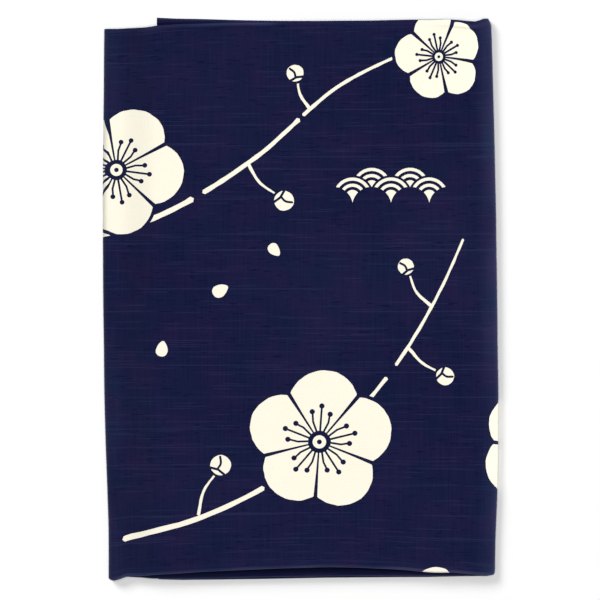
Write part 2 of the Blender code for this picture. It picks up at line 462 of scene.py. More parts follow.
# Points of a bud's petal edge and of its calyx, and how far past the twig it sits, as shares of its
# radius, and the widths of the two strokes
BUD_EDGE = ((-0.5, 0.1), (0.1, 0.05), (0.75, 0.45))
BUD_CALYX = ((-0.72, -1), (-0.5, 0), (-0.72, 1))
BUD_PAST = 0.8
BUD_EDGE_STEPS = 9
BUD_EDGE_WIDTH = 1.0
BUD_CALYX_WIDTH = 1.1

# A fallen petal's half width as a share of its length, and how much narrower it is at its tip
PETAL_HALF_WIDTH = 0.36
PETAL_TAPER = 0.35

# The rings of one wave scale, as shares of its radius, from the dark parting outside it inwards, and
# the dark scales that cut off the last row
SCALE_RINGS = (1.12, 1.0, 0.84, 0.68, 0.52, 0.36)
CUT_SCALE = 1.02

# One repeat of the print, from the front panel's middle. Every other column is half a repeat higher.
REPEAT_ACROSS, REPEAT_UP = 190.0, 250.0
REPEAT_COLUMNS = range(-2, 3)
REPEAT_ROWS = range(-1, 3)

Branch = namedtuple("Branch", "knots breaks seed")
BRANCHES = (
    Branch(((-84, -108), (-44, -98), (-6, -78), (34, -40), (62, 4), (74, 30)), (0.34, 0.68), 1),
    Branch(((-98, 26), (-66, 36), (-22, 62), (18, 96), (60, 116)), (0.3, 0.62), 2),
)
Twig = namedtuple("Twig", "x y turn length bend bud_radius seed")
TWIGS = (
    Twig(-46, -97, 62, 21, 3, 4.6, 3),
    Twig(48, -22, -34, 17, -2, 4.0, 4),
    Twig(58, -3, 118, 18, 3, 3.6, 5),
    Twig(-24, 61, -42, 20, -3, 4.4, 6),
    Twig(3.6, 85.2, 108, 14, 2, 3.8, 7),
)
Fallen = namedtuple("Fallen", "x y turn length")
FALLEN_PETALS = (Fallen(-36, 4, 30, 7.5), Fallen(-12, 22, -50, 6.5), Fallen(-62, -22, 80, 7))
Blossom = namedtuple("Blossom", "x y turn radius seed")
BLOSSOMS = (Blossom(8, -64, 14, 32, 8), Blossom(-82, 58, -8, 29, 9), Blossom(62, 108, 30, 20, 10))
WAVES_X, WAVES_Y, WAVES_RADIUS = 40, 50, 8.6
WAVES_ROWS = (2, 3)

# The layers that show lie past these two places; the print on the layers folded inside is left out
PRINT_START = TIGHT_FOLD.start
PRINT_END = HALF_FOLD_END


def turned(points, degrees):
    angle = math.radians(degrees)
    c, s = math.cos(angle), math.sin(angle)
    return points @ np.array([[c, s], [-s, c]])


def moved(shapes, x=0.0, y=0.0, turn=0.0):
    return [Shape(shape.ink, turned(shape.points, turn) + (x, y)) for shape in shapes]


def round_angles(corners):
    return np.linspace(0, 2 * math.pi, corners, endpoint=False)


def disc(radius, x=0.0, y=0.0, corners=20):
    angle = round_angles(corners)
    return np.stack([x + radius * np.cos(angle), y + radius * np.sin(angle)], axis=-1)


def hand_cut(points, depth=0.13, seed=0.0):
    """The outline as a knife would cut it from a stencil, a little off the drawn line."""
    back, ahead = np.roll(points, 1, axis=0), np.roll(points, -1, axis=0)
    tangent = ahead - back
    side = np.stack([tangent[:, 1], -tangent[:, 0]], axis=-1)
    side /= np.maximum(np.linalg.norm(side, axis=-1, keepdims=True), 1e-9)
    x, y = points[:, 0] + seed, points[:, 1] - seed
    off = sum(wave.height * np.sin(wave.x * x + wave.y * y + wave.start) for wave in WANDERS)
    return points + side * (depth * off / 2)[:, None]


def ribbon(path, widths):
    """The outline of a stroke along a path, with a width at each of its points and rounded ends."""
    path = np.asarray(path, float)
    widths = np.broadcast_to(widths, len(path))
    tangent = np.gradient(path, axis=0)
    tangent /= np.linalg.norm(tangent, axis=1, keepdims=True)
    side = np.stack([-tangent[:, 1], tangent[:, 0]], axis=-1) * widths[:, None] / 2
    start = path[0] - tangent[0] * widths[0] * CAP
    end = path[-1] + tangent[-1] * widths[-1] * CAP
    return np.concatenate([path + side, [end], (path - side)[::-1], [start]])


def curve_through(knots, steps):
    """A smooth path through a few points."""
    knots = np.asarray(knots, float)
    at = np.concatenate([[0], np.cumsum(np.linalg.norm(np.diff(knots, axis=0), axis=1))])
    t = np.linspace(0, at[-1], steps)
    slope = np.gradient(knots, at, axis=0)
    i = np.clip(np.searchsorted(at, t) - 1, 0, len(at) - 2)
    span = (at[i + 1] - at[i])[:, None]
    f = (t - at[i])[:, None] / span
    h00, h10 = 2 * f**3 - 3 * f**2 + 1, f**3 - 2 * f**2 + f
    h01, h11 = -2 * f**3 + 3 * f**2, f**3 - f**2
    return h00 * knots[i] + h10 * span * slope[i] + h01 * knots[i + 1] + h11 * span * slope[i + 1]


def blossom_outline(radius, grow=0.0, corners=110):
    """Five round petals, a little lopsided."""
    petal, reach = PETAL_RADIUS * radius + grow, PETAL_REACH * radius
    angle = round_angles(corners)
    fifth = 2 * math.pi / PETALS
    off_axis = (angle + fifth / 2) % fifth - fifth / 2
    distance = reach * np.cos(off_axis) + np.sqrt(petal**2 - (reach * np.sin(off_axis)) ** 2)
    distance *= 1 + LOPSIDED * np.sin(angle + 1) + UNEVEN * np.sin(3 * angle)
    return np.stack([distance * np.cos(angle), distance * np.sin(angle)], axis=-1)


def stamen(radius, lean, reach):
    """A thin stroke with a dot at its tip, pointing along +x."""
    bend = lean * STAMEN_BEND * radius
    path = [(STAMEN_ROOT * radius, 0), (STAMEN_MIDDLE * radius, bend), (reach * radius, 0)]
    return [
        Shape(NAVY, ribbon(path, THIN_STROKE)),
        Shape(NAVY, disc(ANTHER_RADIUS * radius, (reach + ANTHER_PAST) * radius, corners=12)),
    ]


def blossom(radius, seed=0.0):
    """A plum blossom with parted petals, stamens and a ring at its heart."""
    shapes = [
        Shape(NAVY, blossom_outline(radius, STENCIL_GAP, corners=70)),
        Shape(CREAM, hand_cut(blossom_outline(radius), seed=seed)),
    ]
    parting = ribbon([(row.at * radius, 0) for row in PARTINGS], [row.width for row in PARTINGS])
    for petal in range(PETALS):
        turn = PETAL_TURN * petal
        shapes.append(Shape(NAVY, turned(parting, turn + PETAL_TURN / 2)))
        for row in STAMENS:
            shapes += moved(stamen(radius, *row), turn=turn + row.lean)
    heart = disc(HEART_RADIUS * radius, corners=26)
    shapes.append(Shape(NAVY, hand_cut(heart, depth=0.1, seed=seed)))
    shapes.append(Shape(CREAM, disc(RING_RADIUS * radius, corners=18)))
    shapes.append(Shape(NAVY, disc(DOT_RADIUS * radius, corners=12)))
    return shapes


def bud(radius, seed=0.0):
    """A round closed bud on its calyx, pointing along +x."""
    edge = curve_through(np.array(BUD_EDGE) * radius, BUD_EDGE_STEPS)
    calyx = np.array(BUD_CALYX) * radius
    return [
        Shape(NAVY, disc(radius + STENCIL_GAP * 0.7, corners=28)),
        Shape(CREAM, hand_cut(disc(radius, corners=32), depth=0.1, seed=seed)),
        Shape(NAVY, ribbon(edge, BUD_EDGE_WIDTH)),
        Shape(NAVY, ribbon(calyx, BUD_CALYX_WIDTH)),
    ]


def branch(knots, breaks, seed=0.0):
    """A tapering stroke with the stencil's bridges across it and a swelling before each."""
    path = curve_through(knots, BRANCH_STEPS)
    t = np.linspace(0, 1, len(path))
    shapes = []
    for first, last in zip((0.0, *breaks), (*breaks, 1.0)):
        part = (t >= first + HALF_BRIDGE) & (t <= last - HALF_BRIDGE)
        width = BRANCH_START + (BRANCH_END - BRANCH_START) * t[part]
        swelling = SWELLING * np.exp(-(((t[part] - last) / SWELLING_RUN) ** 2)) * (last < 1)
        outline = ribbon(path[part], width * (1 + swelling))
        shapes.append(Shape(CREAM, hand_cut(outline, depth=0.1, seed=seed)))
    return shapes


def twig(x, y, turn, length, bend, bud_radius, seed=0.0):
    """A thin side shoot that ends in a bud."""
    end = (length, bend * TWIG_END_BEND)
    path = curve_through([(0, 0), (0.5 * length, bend), end], TWIG_STEPS)
    shoot = ribbon(path, np.linspace(TWIG_START, TWIG_END, TWIG_STEPS))
    shapes = [Shape(CREAM, hand_cut(shoot, depth=0.07, seed=seed))]
    shapes += moved(bud(bud_radius, seed), end[0] + bud_radius * BUD_PAST, end[1])
    return moved(shapes, x, y, turn)


def fallen_petal(length):
    """A single petal, narrower at its tip."""
    angle = round_angles(26)
    x = length / 2 * np.cos(angle)
    y = length * PETAL_HALF_WIDTH * np.sin(angle) * (1 - PETAL_TAPER * np.cos(angle))
    return [Shape(CREAM, hand_cut(np.stack([x, y], axis=-1), depth=0.08, seed=length))]


def wave_scale(radius, x, y):
    """One scale of the wave pattern: rings inside one another."""
    shapes = []
    for k, share in enumerate(SCALE_RINGS):
        ink = NAVY if k % 2 == 0 else CREAM
        shapes.append(Shape(ink, disc(radius * share, x, y, corners=34 - 3 * k)))
    return shapes


def waves(radius, rows):
    """A small patch of wave scales, each row in front of the one above it and cut off below."""
    shapes = []
    for row, count in enumerate(rows):
        for k in range(count):
            shapes += wave_scale(radius, (2 * k - count + 1) * radius, -row * radius / 2)
    last = rows[-1] + 1
    low = -len(rows) * radius / 2
    for k in range(last):
        x = (2 * k - last + 1) * radius
        shapes.append(Shape(NAVY, disc(radius * CUT_SCALE, x, low, corners=34)))
    reach = (last + 0.5) * radius
    below = [(-reach, low), (reach, low), (reach, low - radius), (-reach, low - radius)]
    shapes.append(Shape(NAVY, np.array(below)))
    return shapes


def motif_repeat():
    """The shapes of one repeat, in the order of printing."""
    shapes = []
    for row in BRANCHES:
        shapes += branch(*row)
    for row in TWIGS:
        shapes += twig(*row)
    shapes += moved(waves(WAVES_RADIUS, WAVES_ROWS), WAVES_X, WAVES_Y)
    for row in FALLEN_PETALS:
        shapes += moved(fallen_petal(row.length), row.x, row.y, row.turn)
    for row in BLOSSOMS:
        shapes += moved(blossom(row.radius, row.seed), row.x, row.y, row.turn)
    return shapes


def clear_of_edges(outline):
    """The outline, with each point that grazes an edge of the cloth moved just outside it."""
    size = np.array([CLOTH_WIDTH, CLOTH_LENGTH])
    outline = np.where(np.abs(outline) < GRAZE, -GRAZE, outline)
    return np.where(np.abs(outline - size) < GRAZE, size + GRAZE, outline)


def printed_shapes():
    """Every shape of the print on the flat cloth, in metres and in the order of printing."""
    repeat = motif_repeat()
    shapes = []
    for column in REPEAT_COLUMNS:
        for row in REPEAT_ROWS:
            x = column * REPEAT_ACROSS
            y = (column % 2) * REPEAT_UP / 2 - row * REPEAT_UP
            for shape in repeat:
                along = front_along(0) + (shape.points[:, 0] + x) * MM
                down = OPEN_Y - (shape.points[:, 1] + y) * MM
                shows_along = along.max() > PRINT_START and along.min() < CLOTH_WIDTH
                shows_down = down.max() > 0 and down.min() < PRINT_END
                if shows_along and shows_down:
                    outline = clear_of_edges(np.stack([along, down], axis=-1))
                    shapes.append(Shape(shape.ink, outline))
    return shapes


# ---------------------------------------------------------------- the cloth's mesh


def anticlockwise(outline):
    """The outline in the order that the triangulation reads as its inside."""
    after = np.roll(outline, -1, axis=0)
    area = (outline[:, 0] * after[:, 1] - after[:, 0] * outline[:, 1]).sum()
    return outline if area > 0 else outline[::-1]


def grid_edges(rows, columns):
    index = np.arange(rows * columns).reshape(rows, columns)
    across = np.stack([index[:-1].ravel(), index[1:].ravel()], axis=-1)
    lengthways = np.stack([index[:, :-1].ravel(), index[:, 1:].ravel()], axis=-1)
    return np.concatenate([across, lengthways]).tolist()


def triangulate(along, down, rim, shapes=()):
    """Triangles inside the rim, along the mesh lines and the print's outlines, and the ink of each."""
    grid = np.stack(np.meshgrid(along, down, indexing="ij"), axis=-1).reshape(-1, 2)
    points, outlines, first = [grid], [], len(grid)
    for outline in [rim] + [shape.points for shape in shapes]:
        points.append(anticlockwise(outline))
        outlines.append(list(range(first, first + len(outline))))
        first += len(outline)
    places = [Vector(p) for p in np.concatenate(points)]
    made = delaunay_2d_cdt(places, grid_edges(len(along), len(down)), outlines, 0, MERGE, True)
    flat, faces, inside = np.array([tuple(v) for v in made[0]]), made[2], made[5]
    kept = [k for k, outline in enumerate(inside) if 0 in outline]
    triangles = np.array([faces[k] for k in kept])
    last = np.array([max(inside[k]) for k in kept])
    inks = np.array([NAVY] + [shape.ink for shape in shapes])[last]
    used, triangles = np.unique(triangles, return_inverse=True)
    flat, triangles = flat[used], triangles.reshape(-1, 3)
    a, b, c = (flat[triangles[:, k]] for k in range(3))
    area = (b[:, 0] - a[:, 0]) * (c[:, 1] - a[:, 1]) - (b[:, 1] - a[:, 1]) * (c[:, 0] - a[:, 0])
    triangles[area < 0] = triangles[area < 0][:, ::-1]
    return flat, triangles[area != 0], inks[area != 0]


def rim_loop(flat, triangles):
    """Indices of the points round the triangles' outer edge, from the corner where both axes start."""
    sides = np.concatenate([triangles[:, [0, 1]], triangles[:, [1, 2]], triangles[:, [2, 0]]])
    there, back = sides @ (len(flat), 1), sides @ (1, len(flat))
    after = dict(sides[~np.isin(there, back)].tolist())
    loop = [int(np.argmin(flat.sum(axis=1)))]
    while after[loop[-1]] != loop[0]:
        loop.append(after[loop[-1]])
    return np.array(loop)


def cloth_depth(down):
    """Thickness of the cloth, with the hems turned under along its open edges."""
    from_edge = np.minimum(down, CLOTH_LENGTH - down)
    hem = 1 - smooth_step((from_edge - HEM_WIDTH + HEM_SLOPE) / HEM_SLOPE)
    return CLOTH_THICKNESS + (HEM_THICKNESS - CLOTH_THICKNESS) * hem


# Where places on the printed face lie in the picture that stores its colours, as shares of its width
# and height, and the rows of that picture for the reverse and the rim
ATLAS_MARGIN = 0.004
ATLAS_SPAN = 1 - 2 * ATLAS_MARGIN
Stored = namedtuple("Stored", "place share")
STORED_ALONG = (
    Stored(0.0, ATLAS_MARGIN),
    Stored(MIDDLE_RUN.length, 0.054),
    Stored(FRONT_RUN.start, 0.062),
    Stored(ROUND_FOLD.start, 0.680),
    Stored(UNDER_RUN.start, 0.706),
    Stored(CLOTH_WIDTH, 1 - ATLAS_MARGIN),
)
STORED_DOWN = (
    Stored(0.0, ATLAS_MARGIN),
    Stored(OUTER_LENGTH, 0.880),
    Stored(HALF_FOLD_END, 0.890),
    Stored(CLOTH_LENGTH, 0.930),
)
Row = namedtuple("Row", "low high")
REVERSE_ROW = Row(0.940, 0.984)
RIM_ROW = Row(0.990, 0.996)

# An edge of the mesh that bends by more degrees than this is shaded sharp
SHARP_ANGLE = 50.0


def rim_place(pairs):
    """Where the corners of the rim's pairs of triangles are stored: one small box for each pair."""
    left = ATLAS_MARGIN + ATLAS_SPAN * np.arange(pairs) / pairs
    right = left + ATLAS_SPAN / pairs
    low, high = (np.full(pairs, level) for level in RIM_ROW)
    box = ((right, high), (left, high), (left, low), (right, low))
    upper_right, upper_left, lower_left, lower_right = (np.stack(at, axis=-1) for at in box)
    first = np.stack([upper_right, upper_left, lower_left], axis=1)
    second = np.stack([upper_right, lower_left, lower_right], axis=1)
    return np.concatenate([first, second])


def atlas_place(flat, triangles, face_count, back_count):
    """Where each corner's colour is stored: the face, the reverse and the rim in parts of their own."""
    u = np.interp(flat[:, 0], *zip(*STORED_ALONG))
    v = np.interp(flat[:, 1], *zip(*STORED_DOWN))
    corners = np.stack([u[triangles], v[triangles]], axis=-1)
    reverse_u = ATLAS_MARGIN + ATLAS_SPAN * flat[:, 0] / CLOTH_WIDTH
    reverse_v = REVERSE_ROW.low + (REVERSE_ROW.high - REVERSE_ROW.low) * flat[:, 1] / CLOTH_LENGTH
    rim_start = face_count + back_count
    back = triangles[face_count:rim_start]
    corners[face_count:rim_start] = np.stack([reverse_u[back], reverse_v[back]], axis=-1)
    corners[rim_start:] = rim_place((len(triangles) - rim_start) // 2)
    return corners.reshape(-1, 2)


def make_cloth():
    """The printed face, the reverse and the rim between them, as one closed mesh."""
    along, down = along_lines(), down_lines(HEM_ROWS)
    corners = np.array([(0.0, 0.0), (along[-1], 0.0), (along[-1], down[-1]), (0.0, down[-1])])
    face_flat, face, inks = triangulate(along, down, corners, printed_shapes())
    face_loop = rim_loop(face_flat, face)
    back_down = thinned(down_lines(REVERSE_HEM_ROWS))
    back_flat, back, _ = triangulate(thinned(along)[1:-1], back_down[1:-1], face_flat[face_loop])
    back_loop = rim_loop(back_flat, back)
    assert len(face_loop) == len(back_loop), "the reverse's rim has other points than the face's"

    face_out = face_direction(*face_flat.T)
    face_points = folded(*face_flat.T) + face_out * SOLID_THICKNESS / 2
    back_out = face_direction(*back_flat.T)
    back_height = SOLID_THICKNESS / 2 - cloth_depth(back_flat[:, 1])
    back_points = folded(*back_flat.T) + back_out * back_height[:, None]
    points = np.concatenate([face_points, back_points])
    middle = (points.min(axis=0) + points.max(axis=0)) / 2
    solid_middle = (np.array(cad_box[0]) + np.array(cad_box[1])) / 2
    points[:, :2] += (solid_middle - middle)[:2]

    back = back + len(face_flat)
    back_loop = back_loop + len(face_flat)
    face_next, back_next = np.roll(face_loop, -1), np.roll(back_loop, -1)
    rim_a = np.stack([face_next, face_loop, back_loop], axis=-1)
    rim_b = np.stack([face_next, back_loop, back_next], axis=-1)
    triangles = np.concatenate([face[:, ::-1], back, rim_a, rim_b])
    inks = np.concatenate([inks, np.full(len(triangles) - len(face), REVERSE)])

    mesh = bpy.data.meshes.new("furoshiki_cloth")
    mesh.from_pydata(points.tolist(), [], triangles.tolist())
    mesh.update()
    cloth = bpy.data.objects.new("furoshiki_cloth", mesh)
    bpy.context.scene.collection.objects.link(cloth)
    flat = np.concatenate([face_flat, back_flat])
    atlas = atlas_place(flat, triangles, len(face), len(back))
    for name, corners in (("OFBake", atlas), ("cloth", flat[triangles.ravel()])):
        mesh.uv_layers.new(name=name).data.foreach_set("uv", corners.astype(np.float32).ravel())
    mesh.polygons.foreach_set("material_index", inks.astype(np.int32))
    mesh.shade_smooth()
    mesh.set_sharp_from_angle(angle=math.radians(SHARP_ANGLE))
    return cloth


# ---------------------------------------------------------------- materials

SHEEN_WEIGHT = 0.26
SHEEN_ROUGHNESS = 0.50
SHEEN_TINT = (0.5, 0.55, 1.0, 1.0)
SPECULAR = 0.04
ROUGHNESS = 0.80
ROUGHNESS_SPREAD = 0.12
BUMP_STRENGTH = 0.5
BUMP_HEIGHT = 0.12 * MM

# Unevenness over an area: its size along the weft and across it, its octaves, and a shift, larger down
# the cloth than along it, that keeps each pattern unlike the others
Grain = namedtuple("Grain", "along down detail shift")
WEFT = Grain(3.2 * MM, 0.55 * MM, 1.0, 3.1)
WARP = Grain(0.55 * MM, 4 * MM, 0.0, 5.3)
MOTTLE = Grain(15 * MM, 14 * MM, 3.0, 23.3)
BROAD = Grain(75 * MM, 65 * MM, 1.0, 2.9)
# The next grain spreads the painted highlight and wear along the creases unevenly
HIGHLIGHT_AND_WEAR_GRAIN = Grain(34 * MM, 40 * MM, 1.0, 7.7)
SHIFT_DOWN = 1.7
MIDDLE_VALUE = 0.5

# Unevenness along single yarns: its length, and a shift that keeps each pattern unlike the others. The
# yarns start within YARN_SPREAD of one another in it. A slub is a thick stretch of one yarn.
YARN_PITCH = 0.46 * MM
YARN_SPREAD = 97.0
Yarn = namedtuple("Yarn", "length shift")
SLUB = Yarn(34 * MM, 11.0)
LONG_SLUB = Yarn(90 * MM, 31.0)
SPECK = Yarn(9 * MM, 57.0)
WARP_SLUB = Yarn(34 * MM, 43.0)
SLUBBED_SHIFT = 71.0

# Where each kind of streak fades in, as values of its noise, and how strong it grows
Streak = namedtuple("Streak", "start full strength")
SLUBBED_YARNS = Streak(0.88, 0.98, 1.0)
LONG_SLUBS = Streak(0.42, 0.58, 1.0)
SHORT_SLUBS = Streak(0.64, 0.80, 0.6)
DARK_SPECKS = Streak(0.34, 0.22, 1.0)

# The share of the ink's pale colour in even cloth, and how strongly each kind of unevenness moves it
EVEN_SHARE = 0.37
SHARE_OF_THREADS = 0.8
SHARE_OF_SLUB = 0.7
SHARE_OF_WARP_SLUB = 1.2
SHARE_OF_SPECKS = -0.6
SHARE_OF_MOTTLE = 0.9
SHARE_OF_BROAD = 1.0
WEFT_IN_THREADS = 0.6
WARP_IN_THREADS = 0.4

# Pressed folds and open edges are painted paler: partly wear, mostly a painted highlight where the
# rounded folds and edges catch the light. Each row: whether its place is counted along the cloth or down
# it, the place, how far it fades to its sides, how strongly it is painted paler, and from where to where
# it runs
Crease = namedtuple("Crease", "counted place reach wear start end")
CREASES = (
    Crease("along", TIGHT_FOLD.start + 0.6 * TIGHT_FOLD.length, 1.8 * MM, 0.25, 0.0, CLOTH_LENGTH),
    Crease("along", FRONT_RUN.start, 8.0 * MM, 0.09, 0.0, CLOTH_LENGTH),
    Crease("along", ROUND_FOLD.start + 0.3 * ROUND_FOLD.length, 9.0 * MM, 0.30, 0.0, CLOTH_LENGTH),
    Crease("down", OUTER_LENGTH + 0.4 * MM, 1.0 * MM, 0.70, FRONT_RUN.start, ROUND_FOLD.start),
    Crease("down", OUTER_LENGTH, 5.0 * MM, 0.05, FRONT_RUN.start, ROUND_FOLD.start),
    Crease("down", 0.8 * MM, 1.0 * MM, 0.48, front_along(-68 * MM), front_along(-12 * MM)),
    Crease("down", 0.8 * MM, 1.0 * MM, 0.12, FRONT_RUN.start, ROUND_FOLD.start),
    Crease("down", 2.4 * MM, 1.0 * MM, 0.30, front_along(68 * MM), front_along(84 * MM)),
    Crease("down", CLOTH_LENGTH - 0.5 * MM, 1.0 * MM, 0.08, UNDER_RUN.start, CLOTH_WIDTH),
)
CREASE_END = 5 * MM
# How unevenly the painted highlight and wear along the creases is spread: the noise values read and the
# shares they give
HIGHLIGHT_AND_WEAR_LOW, HIGHLIGHT_AND_WEAR_HIGH = 0.30, 0.70
LEAST_HIGHLIGHT_AND_WEAR, MOST_HIGHLIGHT_AND_WEAR = 0.5, 1.4

# Painted shade: the layers inside the pack, where the panels above shade them, are painted darker than
# the face, and the shade fades out toward their folds and, sooner, toward their open edges. The under
# panel's half fold gets a lighter painted shade, as it lies under the front's overhang.
TUCKED_SHADE_COLOUR = (0.0, 0.0008, 0.0130, 1.0)
TUCKED_SHADE_STRENGTH = 0.85
TUCKED_RUN = 4.0 * MM
TUCKED_FADE = 4.2 * MM
TUCKED_FADE_AT_EDGE = 2.2 * MM
UNDER_FOLD_SHADE = 0.6

# Linear colours of the deep and the pale yarn and of the paler colour that folds and edges are painted
# toward (partly wear, mostly painted highlight), the dye's drift where it takes more, and the strengths
# of the pale slubs, of the slubs in relief and of the fine threads
Ink = namedtuple("Ink", "deep pale worn dye streak slub thread")
NAVY_INK = Ink(
    deep=(0.0024, 0.0030, 0.0264, 1), pale=(0.0118, 0.0130, 0.0490, 1), worn=(0.030, 0.033, 0.085, 1),
    dye=(1.2, -0.5, 0.0), streak=0.75, slub=0.8, thread=0.34,
)
CREAM_INK = Ink(
    deep=(0.81, 0.775, 0.64, 1), pale=(0.87, 0.837, 0.705, 1), worn=(0.87, 0.837, 0.705, 1),
    dye=(0.0, -0.02, -0.05), streak=0.12, slub=0.3, thread=0.08,
)
REVERSE_INK = Ink(
    deep=(0.012, 0.0135, 0.045, 1), pale=(0.024, 0.026, 0.080, 1), worn=(0.034, 0.037, 0.095, 1),
    dye=(0.6, -0.3, 0.0), streak=0.5, slub=0.8, thread=0.6,
)


class Nodes:
    """Adds nodes to one material; sockets and plain values are given alike."""

    def __init__(self, name):
        self.material = bpy.data.materials.new(name)
        self.material.use_nodes = True
        self.tree = self.material.node_tree
        self.shader = self.tree.nodes["Principled BSDF"]

    def put(self, value, socket):
        if isinstance(value, bpy.types.NodeSocket):
            self.tree.links.new(value, socket)
        else:
            socket.default_value = value

    def add(self, kind, settings=(), **inputs):
        """A new node. An input is given by its name in small letters, or as i and its number."""
        node = self.tree.nodes.new(kind)
        for name, value in dict(settings).items():
            setattr(node, name, value)
        for name, value in inputs.items():
            key = int(name[1:]) if name[1:].isdigit() else name.replace("_", " ").title()
            self.put(value, node.inputs[key])
        return node

    def math(self, operation, first, second=0.0, third=0.0):
        node = self.add("ShaderNodeMath", {"operation": operation}, i0=first, i1=second, i2=third)
        return node.outputs[0]

    def vector(self, operation, first, second, third=(0.0, 0.0, 0.0)):
        node = self.add("ShaderNodeVectorMath", {"operation": operation}, i0=first, i1=second, i2=third)
        return node.outputs[0]

    def blend(self, share, first, second):
        node = self.add("ShaderNodeMix", {"data_type": "RGBA"}, i0=share, i6=first, i7=second)
        return node.outputs[2]

    def fade(self, value, low, high, start=0.0, end=1.0):
        """Value read from low to high as start to end, softly."""
        settings = {"interpolation_type": "SMOOTHSTEP"}
        node = self.add("ShaderNodeMapRange", settings, i0=value, i1=low, i2=high, i3=start, i4=end)
        return node.outputs[0]

    def streak(self, value, kind):
        return self.fade(value, kind.start, kind.full, 0.0, kind.strength)

    def off_middle(self, value):
        """The value, counted up and down from the middle of its noise."""
        return self.math("SUBTRACT", value, MIDDLE_VALUE)

    def split(self, place):
        """How far along and how far down a place on the cloth is."""
        parts = self.add("ShaderNodeSeparateXYZ", (), i0=place)
        return parts.outputs["X"], parts.outputs["Y"]

    def grain(self, place, grain):
        scale = (1 / grain.along, 1 / grain.down, 1.0)
        shift = (grain.shift, grain.shift * SHIFT_DOWN, 0.0)
        scaled = self.vector("MULTIPLY_ADD", place, scale, shift)
        noise = self.add("ShaderNodeTexNoise", {"noise_dimensions": "2D"}, vector=scaled, scale=1.0)
        noise.inputs["Detail"].default_value = grain.detail
        return noise.outputs["Fac"]

    def chance(self, across, shift):
        """A chance for each yarn, counted across the yarns."""
        count = self.math("FLOOR", self.math("DIVIDE", across, YARN_PITCH))
        seed = self.math("ADD", count, shift)
        drawn = self.add("ShaderNodeTexWhiteNoise", {"noise_dimensions": "1D"}, w=seed)
        return drawn.outputs["Value"]

    def yarn(self, along, across, yarn):
        """Unevenness along each yarn by itself, unlike its neighbours'."""
        start = self.math("MULTIPLY", self.chance(across, yarn.shift), YARN_SPREAD)
        along = self.math("MULTIPLY_ADD", along, 1 / yarn.length, start)
        noise = self.add("ShaderNodeTexNoise", {"noise_dimensions": "1D"}, w=along, scale=1.0)
        noise.inputs["Detail"].default_value = 1.0
        return noise.outputs["Fac"]

    def worn(self, place):
        """How far the colour is painted paler along the creases, unevenly: partly wear, mostly painted
        highlight.
        """
        along, down = self.split(place)
        total = 0.0
        for crease in CREASES:
            across, other = (along, down) if crease.counted == "along" else (down, along)
            away = self.math("ABSOLUTE", self.math("SUBTRACT", across, crease.place))
            begun = self.fade(other, crease.start - CREASE_END, crease.start + CREASE_END)
            over = self.fade(other, crease.end - CREASE_END, crease.end + CREASE_END)
            line = self.fade(away, crease.reach, 0.0, 0.0, crease.wear)
            total = self.math("MULTIPLY_ADD", line, self.math("SUBTRACT", begun, over), total)
        uneven = self.fade(self.grain(place, HIGHLIGHT_AND_WEAR_GRAIN), HIGHLIGHT_AND_WEAR_LOW, HIGHLIGHT_AND_WEAR_HIGH, LEAST_HIGHLIGHT_AND_WEAR, MOST_HIGHLIGHT_AND_WEAR)
        return self.math("MULTIPLY", total, uneven)

    def tucked_shade(self, place):
        """How strong the painted shade is: full well inside the pack, less on the under panel's fold,
        else none.
        """
        along, down = self.split(place)
        middle = self.fade(along, TIGHT_FOLD.start, TIGHT_FOLD.start - TUCKED_RUN)
        inner = self.fade(down, HALF_FOLD_END, HALF_FOLD_END + TUCKED_RUN)
        from_fold = self.math("ABSOLUTE", self.math("SUBTRACT", down, OUTER_LENGTH))
        from_edge = self.math("SUBTRACT", CLOTH_LENGTH, down)
        past_fold = self.fade(from_fold, 0.0, TUCKED_FADE)
        past_edge = self.fade(from_edge, 0.0, TUCKED_FADE_AT_EDGE)
        deep_in = self.math("MULTIPLY", past_fold, past_edge)
        deep = self.math("MULTIPLY", self.math("MAXIMUM", middle, inner), deep_in)
        under = self.fade(along, ROUND_FOLD.start, UNDER_RUN.start, 0.0, UNDER_FOLD_SHADE)
        from_under_fold = self.math("SUBTRACT", down, (OUTER_LENGTH + HALF_FOLD_END) / 2)
        near = self.fade(self.math("ABSOLUTE", from_under_fold), TUCKED_RUN, 0.0)
        return self.math("MAXIMUM", deep, self.math("MULTIPLY", under, near))


